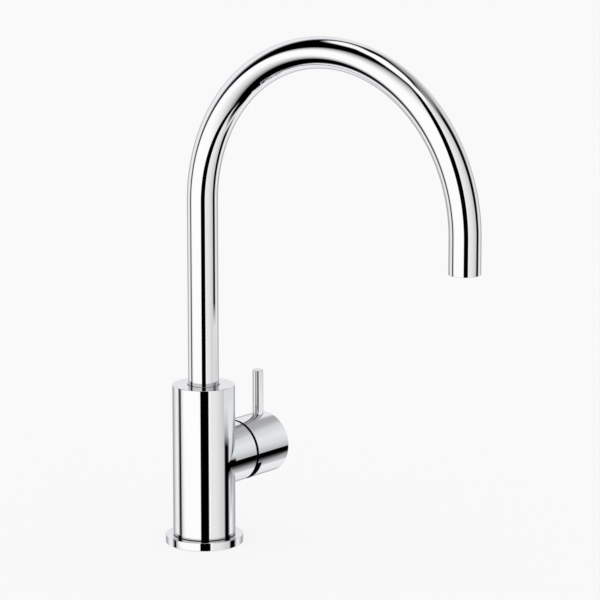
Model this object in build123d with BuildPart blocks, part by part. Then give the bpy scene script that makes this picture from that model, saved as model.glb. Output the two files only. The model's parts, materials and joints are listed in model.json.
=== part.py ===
"""One-hole gooseneck kitchen mixer.

Millimetres, +Z up. The origin is the middle of the base flange's underside, on the worktop.
The spout reaches towards -Y and the handle stands out towards +X.
"""

import math
import os

from build123d import *

os.makedirs("parts", exist_ok=True)

# Outside of the tap
BODY_OD = 45.0
BODY_TOP_Z = 116.5
FLANGE_OD = 56.0
FLANGE_T = 6.0
BRANCH_OD = 44.8
BRANCH_END_X = 32.75
HANDLE_Z = 61.0
CAP_GAP = 2.15
CAP_LENGTH = 34.1
PIN_D = 8.0
PIN_INSET = 8.2
PIN_STANDOUT = 32.8
TUBE_OD = 22.0
TUBE_WALL = 1.5
SPOUT_ARC_R = 115.0
ARC_SPRING_Z = 249.6
OUTLET_DROP = 24.2

# Edge rounding
EDGE_R = 0.4

# Fits
RUN_CLEARANCE = 0.05
SLIDE_CLEARANCE = 0.1
SLIP_CLEARANCE = 0.03
FACE_GAP = 0.05
SCREW_CLEARANCE = 0.02

# Base
SPIGOT_R = 18.9
SPIGOT_LIFT = 0.5
GASKET_R = 26.0
GASKET_WIDTH = 4.0
GASKET_T = 2.0
STUD_HOLE_R = 3.4
STUD_HOLE_DEPTH = 20.0
STUD_X = 9.0
STUD_SPACING = 16.0
INLET_X = -8.0
INLET_SPACING = 18.0
INLET_BORE_R = 4.0
INLET_THREAD_R = 4.5
INLET_THREAD_DEPTH = 13.5

# Spout swivel
TUBE_INSERT = 11.9
BUSH_WALL = 0.6
BUSH_RECESS = 0.3
THRUST_T = 2.0
SOCKET_DEPTH = 32.5
SHAFT_R = 8.9
TAIL_BORE_R = 6.0
TAIL_SPIGOT_LENGTH = 14.0
PILOT_R = 7.4
LOWER_BUSH_T = 3.0
O_RING_SECTION = 1.6
O_RING_GROOVE_WIDTH = 2.4
GROOVE_SETBACK = 1.5
SWIVEL_HALF_RANGE = 75.0
LOCK_SCREW_R = 2.5
LOCK_TIP_R = 1.6
LOCK_TIP_GAP = 0.2
LOCK_GROOVE_DEPTH = 1.6
LOCK_GROOVE_SPARE = 1.5
LOCK_SCREW_RECESS = 0.6
RISER_R = 3.6
RISER_X = -3.5

# Screw drive
HEX_KEY = 2.5
HEX_DEPTH = 2.2

# Outlet and aerator
OUTLET_RECESS = 0.5
OUTLET_BUSH_LENGTH = 16.2
OUTLET_LEDGE_T = 2.0
OUTLET_LEDGE_BORE_R = 6.5
AERATOR_R = 8.2
AERATOR_WALL = 1.2
AERATOR_LENGTH = 12.2
AERATOR_LIP = 1.0
AERATOR_LIP_BORE_R = 6.3
AERATOR_GASKET_T = 1.5
INSERT_T = 5.0
INSERT_CELL_R = 0.72
INSERT_PITCH = 1.85
REGULATOR_T = 4.2
REGULATOR_HOLE_R = 1.1
REGULATOR_CIRCLE_R = 4.2
REGULATOR_HOLES = 8
SCREEN_T = 0.8
SCREEN_HOLE_R = 0.6
SCREEN_PITCH = 1.9
HEX_ROWS = 7

# Cartridge, stacked inwards from the end of the branch
LID_RECESS = 0.8
LID_T = 1.8
LID_BORE_R = 10.2
ROTOR_GAP = 0.2
ROTOR_T = 6.4
ROTOR_R = 12.8
ROTOR_NECK_LENGTH = 4.5
PRONG_GAP = 0.55
PRONG_WIDTH = 3.9
PRONG_HEIGHT = 14.0
DRIVER_GAP = 0.2
DRIVER_T = 5.0
DRIVER_WIDTH = 16.0
DRIVER_HEIGHT = 20.0
MOVING_T = 3.0
MOVING_R = 13.4
MIXING_POCKET_R = 6.0
MIXING_POCKET_DEPTH = 1.6
FIXED_T = 4.0
BASE_T = 5.0
BASE_INSET = 0.1
HOUSING_R = 17.5
HOUSING_WALL = 1.5
CHAMBER_CLEARANCE = 0.1
NUT_R = 19.0
NUT_RECESS = 0.15
NUT_T = 5.1
NUT_NECK_R = 14.6
NUT_SLOTS = 4
NUT_SLOT_WIDTH = 5.0
NUT_SLOT_DEPTH = 2.2
NUT_THREAD_RUNOUT = 1.0
NECK_WALL = 1.6
PORT_R = 3.2
INLET_PORT_Y = 5.6
INLET_PORT_UP = 8.0
OUTLET_PORT_DOWN = 2.0
SEAL_WIDTH = 1.3
SEAL_GAP = 0.4
SEAL_T = 1.2
PEG_R = 1.5
PEG_LENGTH = 2.5
PEG_Y = 12.5
PEG_DOWN = 4.0

# Stem and its pivot
FLOW_TILT = 14.0
PIVOT_SETBACK = 2.0
PIVOT_R = 1.5
PIVOT_END_INSET = 0.6
STEM_WIDTH = 8.0
STEM_BLOCK_BACK = 3.2
STEM_NECK_R = 1.7
STEM_ENGAGEMENT = 10.0
STEM_END_SPACE = 1.0
BALL_R = 2.4
BALL_SINK = 2.0
POCKET_FLOOR = 0.25
SLOT_SPARE = 0.25

# Handle cap
CAP_WALL = 2.75
CAP_END_T = 3.0
HUB_R = 9.0
HUB_LENGTH = 24.0
NOTCH_DEPTH = 4.7
NOTCH_HALF_ANGLE = 73.0
PIN_SEAT_DEPTH = 1.4
PIN_SPIGOT_R = 2.5
PIN_SPIGOT_ENGAGEMENT = 5.0
GRUB_R = 2.5
GRUB_INSET = 5.0
PLUG_R = 3.0
PLUG_RECESS = 0.4

# Levels of the base and of the spout swivel
body_r = BODY_OD / 2
inlet_y = INLET_SPACING / 2
tube_r = TUBE_OD / 2
tube_bore_r = tube_r - TUBE_WALL
tube_foot_z = BODY_TOP_Z - TUBE_INSERT
thrust_top_z = tube_foot_z - FACE_GAP
thrust_z = thrust_top_z - THRUST_T
bush_bore_r = tube_r + RUN_CLEARANCE
bush_r = bush_bore_r + BUSH_WALL
counterbore_r = bush_r + SLIP_CLEARANCE
socket_r = SHAFT_R + RUN_CLEARANCE
socket_floor_z = BODY_TOP_Z - SOCKET_DEPTH
tail_shoulder_z = socket_floor_z + LOWER_BUSH_T + FACE_GAP
tail_foot_z = tail_shoulder_z - LOWER_BUSH_T
groove_floor_r = SHAFT_R - O_RING_SECTION
lower_groove_z = tail_shoulder_z + GROOVE_SETBACK + O_RING_GROOVE_WIDTH / 2
upper_groove_z = thrust_z - GROOVE_SETBACK - O_RING_GROOVE_WIDTH / 2
lock_z = (lower_groove_z + upper_groove_z) / 2
lock_floor_r = SHAFT_R - LOCK_GROOVE_DEPTH
lock_tip_y = lock_floor_r + LOCK_TIP_GAP
lock_screw_y = socket_r + LOCK_TIP_GAP
lock_screw_end_y = body_r - LOCK_SCREW_RECESS
lock_groove_half_height = LOCK_TIP_R + LOCK_TIP_GAP
lock_groove_half_angle = (
    SWIVEL_HALF_RANGE
    + math.degrees(math.asin(LOCK_TIP_R / lock_tip_y))
    + LOCK_GROOVE_SPARE
)

# Levels of the outlet
outlet_y = -2 * SPOUT_ARC_R
outlet_z = ARC_SPRING_Z - OUTLET_DROP
outlet_bush_z = outlet_z + OUTLET_RECESS
outlet_bush_top_z = outlet_bush_z + OUTLET_BUSH_LENGTH
aerator_gasket_top_z = outlet_bush_top_z - OUTLET_LEDGE_T
aerator_top_z = aerator_gasket_top_z - AERATOR_GASKET_T
aerator_z = aerator_top_z - AERATOR_LENGTH
insert_r = AERATOR_R - AERATOR_WALL - SLIP_CLEARANCE
insert_z = aerator_z + AERATOR_LIP
regulator_z = insert_z + INSERT_T
screen_z = regulator_z + REGULATOR_T

# Places along the handle axis
lid_end_x = BRANCH_END_X - LID_RECESS
lid_x = lid_end_x - LID_T
rotor_end_x = lid_x - ROTOR_GAP
rotor_x = rotor_end_x - ROTOR_T
rotor_top_x = lid_end_x + ROTOR_NECK_LENGTH - LID_T
driver_end_x = rotor_x - DRIVER_GAP
driver_x = driver_end_x - DRIVER_T
moving_x = driver_x - MOVING_T
fixed_end_x = moving_x - FACE_GAP
fixed_x = fixed_end_x - FIXED_T
seat_x = fixed_x - BASE_T
nut_end_x = BRANCH_END_X - NUT_RECESS
nut_x = nut_end_x - NUT_T
pivot_x = rotor_end_x - PIVOT_SETBACK
ball_x = driver_end_x - BALL_SINK
stem_block_x = pivot_x - STEM_BLOCK_BACK
cap_x = BRANCH_END_X + CAP_GAP
cap_end_x = cap_x + CAP_LENGTH
hub_end_x = cap_end_x - CAP_END_T
hub_x = hub_end_x - HUB_LENGTH
stem_end_x = hub_x + STEM_ENGAGEMENT
pin_x = cap_end_x - PIN_INSET
grub_x = hub_x + GRUB_INSET

# Radii and heights about the handle axis
branch_r = BRANCH_OD / 2
cap_bore_r = branch_r - CAP_WALL
cavity_r = HOUSING_R - HOUSING_WALL
neck_cavity_r = NUT_NECK_R - NECK_WALL
rotor_neck_r = LID_BORE_R - ROTOR_GAP
chamber_r = HOUSING_R + CHAMBER_CLEARANCE
crown_z = HANDLE_Z + branch_r
pin_seat_z = crown_z - PIN_SEAT_DEPTH
stem_half = STEM_WIDTH / 2
stem_hole_width = STEM_WIDTH + 2 * RUN_CLEARANCE
inlet_port_z = HANDLE_Z + INLET_PORT_UP
outlet_port_z = HANDLE_Z - OUTLET_PORT_DOWN
tilt = math.radians(FLOW_TILT)
slot_up = (pivot_x - rotor_x) * math.tan(tilt) + stem_half / math.cos(tilt) + SLOT_SPARE
slot_down = (rotor_top_x - pivot_x) * math.tan(tilt) + stem_half / math.cos(tilt) + SLOT_SPARE


def across(x):
    """Plane square to the handle axis at x; its own x and y point along +Y and +Z."""
    return Plane(origin=(x, 0, HANDLE_Z), x_dir=(0, 1, 0), z_dir=(1, 0, 0))


def level(z, x=0, y=0):
    """Level plane at height z, centred over (x, y)."""
    return Plane(origin=(x, y, z))


port_places = [(-INLET_PORT_Y, INLET_PORT_UP), (INLET_PORT_Y, INLET_PORT_UP), (0, -OUTLET_PORT_DOWN)]
peg_places = [(-PEG_Y, -PEG_DOWN), (PEG_Y, -PEG_DOWN)]

# Base flange, with a groove for the gasket
with BuildPart() as base_flange:
    with BuildSketch():
        Circle(FLANGE_OD / 2)
        Circle(SPIGOT_R + SLIDE_CLEARANCE, mode=Mode.SUBTRACT)
    extrude(amount=FLANGE_T)
    fillet(base_flange.edges().filter_by(GeomType.CIRCLE).sort_by(SortBy.RADIUS)[-2:], EDGE_R)
    with BuildSketch():
        Circle(GASKET_R + SLIP_CLEARANCE)
        Circle(GASKET_R - GASKET_WIDTH - SLIP_CLEARANCE, mode=Mode.SUBTRACT)
    extrude(amount=GASKET_T, mode=Mode.SUBTRACT)
base_flange.part.label = "base_flange"
export_step(base_flange.part, "parts/base_flange.step")

# Rubber ring between the flange and the worktop
with BuildPart() as base_gasket:
    with BuildSketch():
        Circle(GASKET_R)
        Circle(GASKET_R - GASKET_WIDTH, mode=Mode.SUBTRACT)
    extrude(amount=GASKET_T)
base_gasket.part.label = "base_gasket"
export_step(base_gasket.part, "parts/base_gasket.step")

# Body with its side branch, waterways, cartridge chamber and spout socket
with BuildPart() as mixer_body:
    with BuildSketch(level(FLANGE_T)):
        Circle(body_r)
    extrude(amount=BODY_TOP_Z - FLANGE_T)
    fillet(mixer_body.edges().group_by(Axis.Z)[-1], EDGE_R)
    with BuildSketch(across(0)):
        Circle(branch_r)
    extrude(amount=BRANCH_END_X)
    fillet(mixer_body.edges().group_by(Axis.X)[-1], EDGE_R)
    with BuildSketch(level(SPIGOT_LIFT)):
        Circle(SPIGOT_R)
    extrude(amount=FLANGE_T - SPIGOT_LIFT)
    # Spout socket and the counterbore above it
    with BuildSketch(level(socket_floor_z)):
        Circle(socket_r)
    extrude(amount=SOCKET_DEPTH, mode=Mode.SUBTRACT)
    with BuildSketch(level(thrust_z)):
        Circle(counterbore_r)
    extrude(amount=BODY_TOP_Z - thrust_z, mode=Mode.SUBTRACT)
    # Hole for the lock screw, at the back
    with BuildSketch(Plane(origin=(0, 0, lock_z), x_dir=(1, 0, 0), z_dir=(0, 1, 0))):
        Circle(LOCK_SCREW_R + SCREW_CLEARANCE)
    extrude(amount=body_r, mode=Mode.SUBTRACT)
    # Cartridge chamber and the thread for its nut
    with BuildSketch(across(seat_x)):
        Circle(chamber_r)
    extrude(amount=BRANCH_END_X - seat_x, mode=Mode.SUBTRACT)
    with BuildSketch(across(nut_x - NUT_THREAD_RUNOUT)):
        Circle(NUT_R + SCREW_CLEARANCE)
    extrude(amount=NUT_T + NUT_RECESS + NUT_THREAD_RUNOUT, mode=Mode.SUBTRACT)
    with BuildSketch(across(seat_x - PEG_LENGTH - SLIDE_CLEARANCE)):
        with Locations(*peg_places):
            Circle(PEG_R + SLIDE_CLEARANCE)
    extrude(amount=PEG_LENGTH + SLIDE_CLEARANCE, mode=Mode.SUBTRACT)
    # Hot and cold waterways, up from the hose threads and across to the seat
    for side in (-1, 1):
        with BuildSketch(level(SPIGOT_LIFT, INLET_X, side * inlet_y)):
            Circle(INLET_BORE_R)
        extrude(amount=inlet_port_z - SPIGOT_LIFT, mode=Mode.SUBTRACT)
        with BuildSketch(level(SPIGOT_LIFT, INLET_X, side * inlet_y)):
            Circle(INLET_THREAD_R)
        extrude(amount=INLET_THREAD_DEPTH, mode=Mode.SUBTRACT)
        inner_end = Vector(INLET_X, side * inlet_y, inlet_port_z - INLET_BORE_R)
        seat_end = Vector(seat_x, side * INLET_PORT_Y, inlet_port_z)
        run = seat_end - inner_end
        with BuildSketch(Plane(origin=inner_end, z_dir=run)):
            Circle(PORT_R)
        extrude(amount=run.length + PORT_R, mode=Mode.SUBTRACT)
    # Mixed water, from the seat to the riser under the spout
    with BuildSketch(across(RISER_X)):
        with Locations((0, -OUTLET_PORT_DOWN)):
            Circle(PORT_R)
    extrude(amount=seat_x - RISER_X, mode=Mode.SUBTRACT)
    with BuildSketch(level(outlet_port_z - PORT_R, RISER_X)):
        Circle(RISER_R)
    extrude(amount=socket_floor_z - outlet_port_z + PORT_R, mode=Mode.SUBTRACT)
    # Tapped holes for the two fixing studs
    with BuildSketch(level(SPIGOT_LIFT, STUD_X)):
        with GridLocations(0, STUD_SPACING, 1, 2):
            Circle(STUD_HOLE_R)
    extrude(amount=STUD_HOLE_DEPTH, mode=Mode.SUBTRACT)
mixer_body.part.label = "mixer_body"
export_step(mixer_body.part, "parts/mixer_body.step")

# Liner that guides the spout tube in the body
with BuildPart() as upper_bush:
    with BuildSketch(level(thrust_top_z)):
        Circle(bush_r)
        Circle(bush_bore_r, mode=Mode.SUBTRACT)
    extrude(amount=BODY_TOP_Z - BUSH_RECESS - thrust_top_z)
upper_bush.part.label = "upper_bush"
export_step(upper_bush.part, "parts/upper_bush.step")

# Ring that carries the weight of the spout
with BuildPart() as thrust_ring:
    with BuildSketch(level(thrust_z)):
        Circle(bush_r)
        Circle(SHAFT_R + SLIDE_CLEARANCE, mode=Mode.SUBTRACT)
    extrude(amount=THRUST_T)
thrust_ring.part.label = "thrust_ring"
export_step(thrust_ring.part, "parts/thrust_ring.step")

# Ring that guides the foot of the spout tail
with BuildPart() as lower_bush:
    with BuildSketch(level(socket_floor_z)):
        Circle(socket_r - SLIP_CLEARANCE)
        Circle(PILOT_R + RUN_CLEARANCE, mode=Mode.SUBTRACT)
    extrude(amount=LOWER_BUSH_T)
lower_bush.part.label = "lower_bush"
export_step(lower_bush.part, "parts/lower_bush.step")

# Screw at the back whose tip stops the spout from lifting out or turning too far
with BuildPart() as spout_lock_screw:
    with BuildSketch(Plane(origin=(0, lock_screw_y, lock_z), x_dir=(1, 0, 0), z_dir=(0, 1, 0))):
        Circle(LOCK_SCREW_R)
    extrude(amount=lock_screw_end_y - lock_screw_y)
    with BuildSketch(Plane(origin=(0, lock_tip_y, lock_z), x_dir=(1, 0, 0), z_dir=(0, 1, 0))):
        Circle(LOCK_TIP_R)
    extrude(amount=lock_screw_y - lock_tip_y)
    with BuildSketch(Plane(origin=(0, lock_screw_end_y, lock_z), x_dir=(1, 0, 0), z_dir=(0, 1, 0))):
        RegularPolygon(HEX_KEY / 2, 6, major_radius=False)
    extrude(amount=-HEX_DEPTH, mode=Mode.SUBTRACT)
spout_lock_screw.part.label = "spout_lock_screw"
export_step(spout_lock_screw.part, "parts/spout_lock_screw.step")

# Spout tube: up, over in a half circle and down to the outlet
with BuildPart() as spout_tube:
    with BuildLine(Plane.YZ):
        Line((0, tube_foot_z), (0, ARC_SPRING_Z))
        CenterArc((-SPOUT_ARC_R, ARC_SPRING_Z), SPOUT_ARC_R, 0, 180)
        Line((outlet_y, ARC_SPRING_Z), (outlet_y, outlet_z))
    with BuildSketch(level(tube_foot_z)):
        Circle(tube_r)
        Circle(tube_bore_r, mode=Mode.SUBTRACT)
    sweep()
spout_tube.part.label = "spout_tube"
export_step(spout_tube.part, "parts/spout_tube.step")

# Turned tail, brazed in the foot of the tube, that runs in the body's socket
with BuildPart() as spout_tail:
    with BuildSketch(level(tail_foot_z)):
        Circle(PILOT_R)
    extrude(amount=tail_shoulder_z - tail_foot_z)
    with BuildSketch(level(tail_shoulder_z)):
        Circle(SHAFT_R)
    extrude(amount=tube_foot_z - tail_shoulder_z)
    with BuildSketch(level(tube_foot_z)):
        Circle(tube_bore_r - SLIP_CLEARANCE)
    extrude(amount=TAIL_SPIGOT_LENGTH)
    for groove_z in (lower_groove_z, upper_groove_z):
        with BuildSketch(level(groove_z)):
            Circle(SHAFT_R + SLIDE_CLEARANCE)
            Circle(groove_floor_r - SLIP_CLEARANCE, mode=Mode.SUBTRACT)
        extrude(amount=O_RING_GROOVE_WIDTH / 2, both=True, mode=Mode.SUBTRACT)
    with BuildSketch(level(lock_z)):
        with BuildLine():
            groove_start = 90 - lock_groove_half_angle
            outer_arc = CenterArc((0, 0), SHAFT_R + SLIDE_CLEARANCE, groove_start, 2 * lock_groove_half_angle)
            inner_arc = CenterArc((0, 0), lock_floor_r, groove_start, 2 * lock_groove_half_angle)
            Line(outer_arc @ 0, inner_arc @ 0)
            Line(outer_arc @ 1, inner_arc @ 1)
        make_face()
    extrude(amount=lock_groove_half_height, both=True, mode=Mode.SUBTRACT)
    with BuildSketch(level(tail_foot_z)):
        Circle(TAIL_BORE_R)
    extrude(amount=tube_foot_z + TAIL_SPIGOT_LENGTH - tail_foot_z, mode=Mode.SUBTRACT)
spout_tail.part.label = "spout_tail"
export_step(spout_tail.part, "parts/spout_tail.step")

# Two O-rings on the tail
with BuildPart() as spout_o_rings:
    with Locations((0, 0, lower_groove_z), (0, 0, upper_groove_z)):
        Torus(SHAFT_R - O_RING_SECTION / 2, O_RING_SECTION / 2)
spout_o_rings.part.label = "spout_o_rings"
export_step(spout_o_rings.part, "parts/spout_o_rings.step")

# Threaded bush, brazed in the end of the tube
with BuildPart() as outlet_bush:
    with BuildSketch(level(outlet_bush_z, y=outlet_y)):
        Circle(tube_bore_r - SLIP_CLEARANCE)
    extrude(amount=OUTLET_BUSH_LENGTH)
    with BuildSketch(level(outlet_bush_z, y=outlet_y)):
        Circle(AERATOR_R + SCREW_CLEARANCE)
    extrude(amount=OUTLET_BUSH_LENGTH - OUTLET_LEDGE_T, mode=Mode.SUBTRACT)
    with BuildSketch(level(outlet_bush_z, y=outlet_y)):
        Circle(OUTLET_LEDGE_BORE_R)
    extrude(amount=OUTLET_BUSH_LENGTH, mode=Mode.SUBTRACT)
outlet_bush.part.label = "outlet_bush"
export_step(outlet_bush.part, "parts/outlet_bush.step")

# Aerator: gasket, housing, honeycomb insert, flow regulator and screen
with BuildPart() as aerator_gasket:
    with BuildSketch(level(aerator_top_z, y=outlet_y)):
        Circle(AERATOR_R)
        Circle(OUTLET_LEDGE_BORE_R, mode=Mode.SUBTRACT)
    extrude(amount=AERATOR_GASKET_T)
aerator_gasket.part.label = "aerator_gasket"
export_step(aerator_gasket.part, "parts/aerator_gasket.step")

with BuildPart() as aerator_housing:
    with BuildSketch(level(aerator_z, y=outlet_y)):
        Circle(AERATOR_R)
        Circle(AERATOR_LIP_BORE_R, mode=Mode.SUBTRACT)
    extrude(amount=AERATOR_LENGTH)
    with BuildSketch(level(insert_z, y=outlet_y)):
        Circle(AERATOR_R - AERATOR_WALL)
    extrude(amount=AERATOR_LENGTH - AERATOR_LIP, mode=Mode.SUBTRACT)
aerator_housing.part.label = "aerator_housing"
export_step(aerator_housing.part, "parts/aerator_housing.step")

with BuildPart() as aerator_insert:
    with BuildSketch(level(insert_z, y=outlet_y)):
        Circle(insert_r)
        cells = HexLocations(INSERT_PITCH / 2, HEX_ROWS, HEX_ROWS).local_locations
        reach = insert_r - 2 * INSERT_CELL_R
        with Locations(*[cell for cell in cells if cell.position.length < reach]):
            RegularPolygon(INSERT_CELL_R, 6, mode=Mode.SUBTRACT)
    extrude(amount=INSERT_T)
aerator_insert.part.label = "aerator_insert"
export_step(aerator_insert.part, "parts/aerator_insert.step")

with BuildPart() as flow_regulator:
    with BuildSketch(level(regulator_z, y=outlet_y)):
        Circle(insert_r)
        with PolarLocations(REGULATOR_CIRCLE_R, REGULATOR_HOLES):
            Circle(REGULATOR_HOLE_R, mode=Mode.SUBTRACT)
    extrude(amount=REGULATOR_T)
flow_regulator.part.label = "flow_regulator"
export_step(flow_regulator.part, "parts/flow_regulator.step")

with BuildPart() as aerator_screen:
    with BuildSketch(level(screen_z, y=outlet_y)):
        Circle(insert_r)
        holes = HexLocations(SCREEN_PITCH / 2, HEX_ROWS, HEX_ROWS).local_locations
        reach = insert_r - 2 * SCREEN_HOLE_R
        with Locations(*[hole for hole in holes if hole.position.length < reach]):
            Circle(SCREEN_HOLE_R, mode=Mode.SUBTRACT)
    extrude(amount=SCREEN_T)
aerator_screen.part.label = "aerator_screen"
export_step(aerator_screen.part, "parts/aerator_screen.step")

# Cartridge base, pegged to the seat, with a groove round each port
with BuildPart() as cartridge_base:
    with BuildSketch(across(seat_x)):
        Circle(HOUSING_R - BASE_INSET)
        with Locations(*port_places):
            Circle(PORT_R, mode=Mode.SUBTRACT)
    extrude(amount=BASE_T)
    with BuildSketch(across(seat_x)):
        with Locations(*port_places):
            Circle(PORT_R + SEAL_GAP + SEAL_WIDTH)
        with Locations(*port_places):
            Circle(PORT_R + SEAL_GAP, mode=Mode.SUBTRACT)
    extrude(amount=SEAL_T, mode=Mode.SUBTRACT)
    with BuildSketch(across(seat_x - PEG_LENGTH)):
        with Locations(*peg_places):
            Circle(PEG_R)
    extrude(amount=PEG_LENGTH)
cartridge_base.part.label = "cartridge_base"
export_step(cartridge_base.part, "parts/cartridge_base.step")

# Three port seals in those grooves
with BuildPart() as cartridge_seals:
    with BuildSketch(across(seat_x)):
        with Locations(*port_places):
            Circle(PORT_R + SEAL_GAP + SEAL_WIDTH - SLIP_CLEARANCE)
        with Locations(*port_places):
            Circle(PORT_R + SEAL_GAP + SLIP_CLEARANCE, mode=Mode.SUBTRACT)
    extrude(amount=SEAL_T)
cartridge_seals.part.label = "cartridge_seals"
export_step(cartridge_seals.part, "parts/cartridge_seals.step")

# Ceramic disc that stands still, with the three ports
with BuildPart() as fixed_disc:
    with BuildSketch(across(fixed_x)):
        Circle(cavity_r - RUN_CLEARANCE)
        with Locations(*port_places):
            Circle(PORT_R, mode=Mode.SUBTRACT)
    extrude(amount=FIXED_T)
fixed_disc.part.label = "fixed_disc"
export_step(fixed_disc.part, "parts/fixed_disc.step")

# Ceramic disc that slides and turns, with a mixing pocket in its working face
with BuildPart() as moving_disc:
    with BuildSketch(across(moving_x)):
        Circle(MOVING_R)
    extrude(amount=MOVING_T)
    with BuildSketch(across(moving_x)):
        Circle(MIXING_POCKET_R)
    extrude(amount=MIXING_POCKET_DEPTH, mode=Mode.SUBTRACT)
moving_disc.part.label = "moving_disc"
export_step(moving_disc.part, "parts/moving_disc.step")

# Carrier of the moving disc, with a pocket for the ball of the stem
with BuildPart() as disc_driver:
    with BuildSketch(across(driver_x)):
        Rectangle(DRIVER_WIDTH, DRIVER_HEIGHT)
    extrude(amount=DRIVER_T)
    with BuildSketch(across(driver_x + POCKET_FLOOR)):
        Circle(BALL_R + SLIDE_CLEARANCE)
    extrude(amount=DRIVER_T - POCKET_FLOOR, mode=Mode.SUBTRACT)
disc_driver.part.label = "disc_driver"
export_step(disc_driver.part, "parts/disc_driver.step")

# Rotor that turns the discs and carries the pivot of the stem
with BuildPart() as cartridge_rotor:
    with BuildSketch(across(rotor_x)):
        Circle(ROTOR_R)
    extrude(amount=ROTOR_T)
    with BuildSketch(across(rotor_end_x)):
        Circle(rotor_neck_r)
    extrude(amount=rotor_top_x - rotor_end_x)
    with BuildSketch(across(driver_x + PRONG_GAP)):
        prong_y = DRIVER_WIDTH / 2 + SLIDE_CLEARANCE + PRONG_WIDTH / 2
        with Locations((-prong_y, 0), (prong_y, 0)):
            Rectangle(PRONG_WIDTH, PRONG_HEIGHT)
    extrude(amount=rotor_x - driver_x - PRONG_GAP)
    with BuildSketch(across(rotor_x)):
        with Locations((0, (slot_up - slot_down) / 2)):
            Rectangle(STEM_WIDTH + 2 * SLIDE_CLEARANCE, slot_up + slot_down)
    extrude(amount=rotor_top_x - rotor_x, mode=Mode.SUBTRACT)
    with BuildSketch(Plane(origin=(pivot_x, 0, HANDLE_Z), x_dir=(1, 0, 0), z_dir=(0, 1, 0))):
        Circle(PIVOT_R + SCREW_CLEARANCE)
    extrude(amount=ROTOR_R, both=True, mode=Mode.SUBTRACT)
cartridge_rotor.part.label = "cartridge_rotor"
export_step(cartridge_rotor.part, "parts/cartridge_rotor.step")

# Pin on which the stem tilts
with BuildPart() as stem_pivot_pin:
    with BuildSketch(Plane(origin=(pivot_x, 0, HANDLE_Z), x_dir=(1, 0, 0), z_dir=(0, 1, 0))):
        Circle(PIVOT_R)
    extrude(amount=ROTOR_R - PIVOT_END_INSET, both=True)
stem_pivot_pin.part.label = "stem_pivot_pin"
export_step(stem_pivot_pin.part, "parts/stem_pivot_pin.step")

# Housing that holds the cartridge together
with BuildPart() as cartridge_housing:
    with BuildSketch(across(fixed_x)):
        Circle(HOUSING_R)
    extrude(amount=nut_x - fixed_x)
    with BuildSketch(across(nut_x)):
        Circle(NUT_NECK_R)
    extrude(amount=lid_end_x - nut_x)
    with BuildSketch(across(fixed_x)):
        Circle(cavity_r)
    extrude(amount=nut_x - HOUSING_WALL - fixed_x, mode=Mode.SUBTRACT)
    with BuildSketch(across(fixed_x)):
        Circle(neck_cavity_r)
    extrude(amount=lid_x - fixed_x, mode=Mode.SUBTRACT)
    with BuildSketch(across(lid_x)):
        Circle(LID_BORE_R)
    extrude(amount=LID_T, mode=Mode.SUBTRACT)
cartridge_housing.part.label = "cartridge_housing"
export_step(cartridge_housing.part, "parts/cartridge_housing.step")

# Threaded ring that clamps the cartridge in the branch
with BuildPart() as cartridge_nut:
    with BuildSketch(across(nut_x)):
        Circle(NUT_R)
        Circle(NUT_NECK_R + SLIDE_CLEARANCE, mode=Mode.SUBTRACT)
    extrude(amount=NUT_T)
    with BuildSketch(across(nut_end_x - NUT_SLOT_DEPTH)):
        with PolarLocations((NUT_R + NUT_NECK_R) / 2, NUT_SLOTS):
            Rectangle(2 * (NUT_R - NUT_NECK_R), NUT_SLOT_WIDTH)
    extrude(amount=NUT_SLOT_DEPTH, mode=Mode.SUBTRACT)
cartridge_nut.part.label = "cartridge_nut"
export_step(cartridge_nut.part, "parts/cartridge_nut.step")

# Square stem, with a ball at its inner end
with BuildPart() as cartridge_stem:
    with BuildSketch(across(stem_block_x)):
        Rectangle(STEM_WIDTH, STEM_WIDTH)
    extrude(amount=stem_end_x - stem_block_x)
    with BuildSketch(across(ball_x)):
        Circle(STEM_NECK_R)
    extrude(amount=stem_block_x - ball_x)
    with Locations((ball_x, 0, HANDLE_Z)):
        Sphere(BALL_R)
    with BuildSketch(Plane(origin=(pivot_x, 0, HANDLE_Z), x_dir=(1, 0, 0), z_dir=(0, 1, 0))):
        Circle(PIVOT_R + RUN_CLEARANCE)
    extrude(amount=STEM_WIDTH, both=True, mode=Mode.SUBTRACT)
cartridge_stem.part.label = "cartridge_stem"
export_step(cartridge_stem.part, "parts/cartridge_stem.step")

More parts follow.
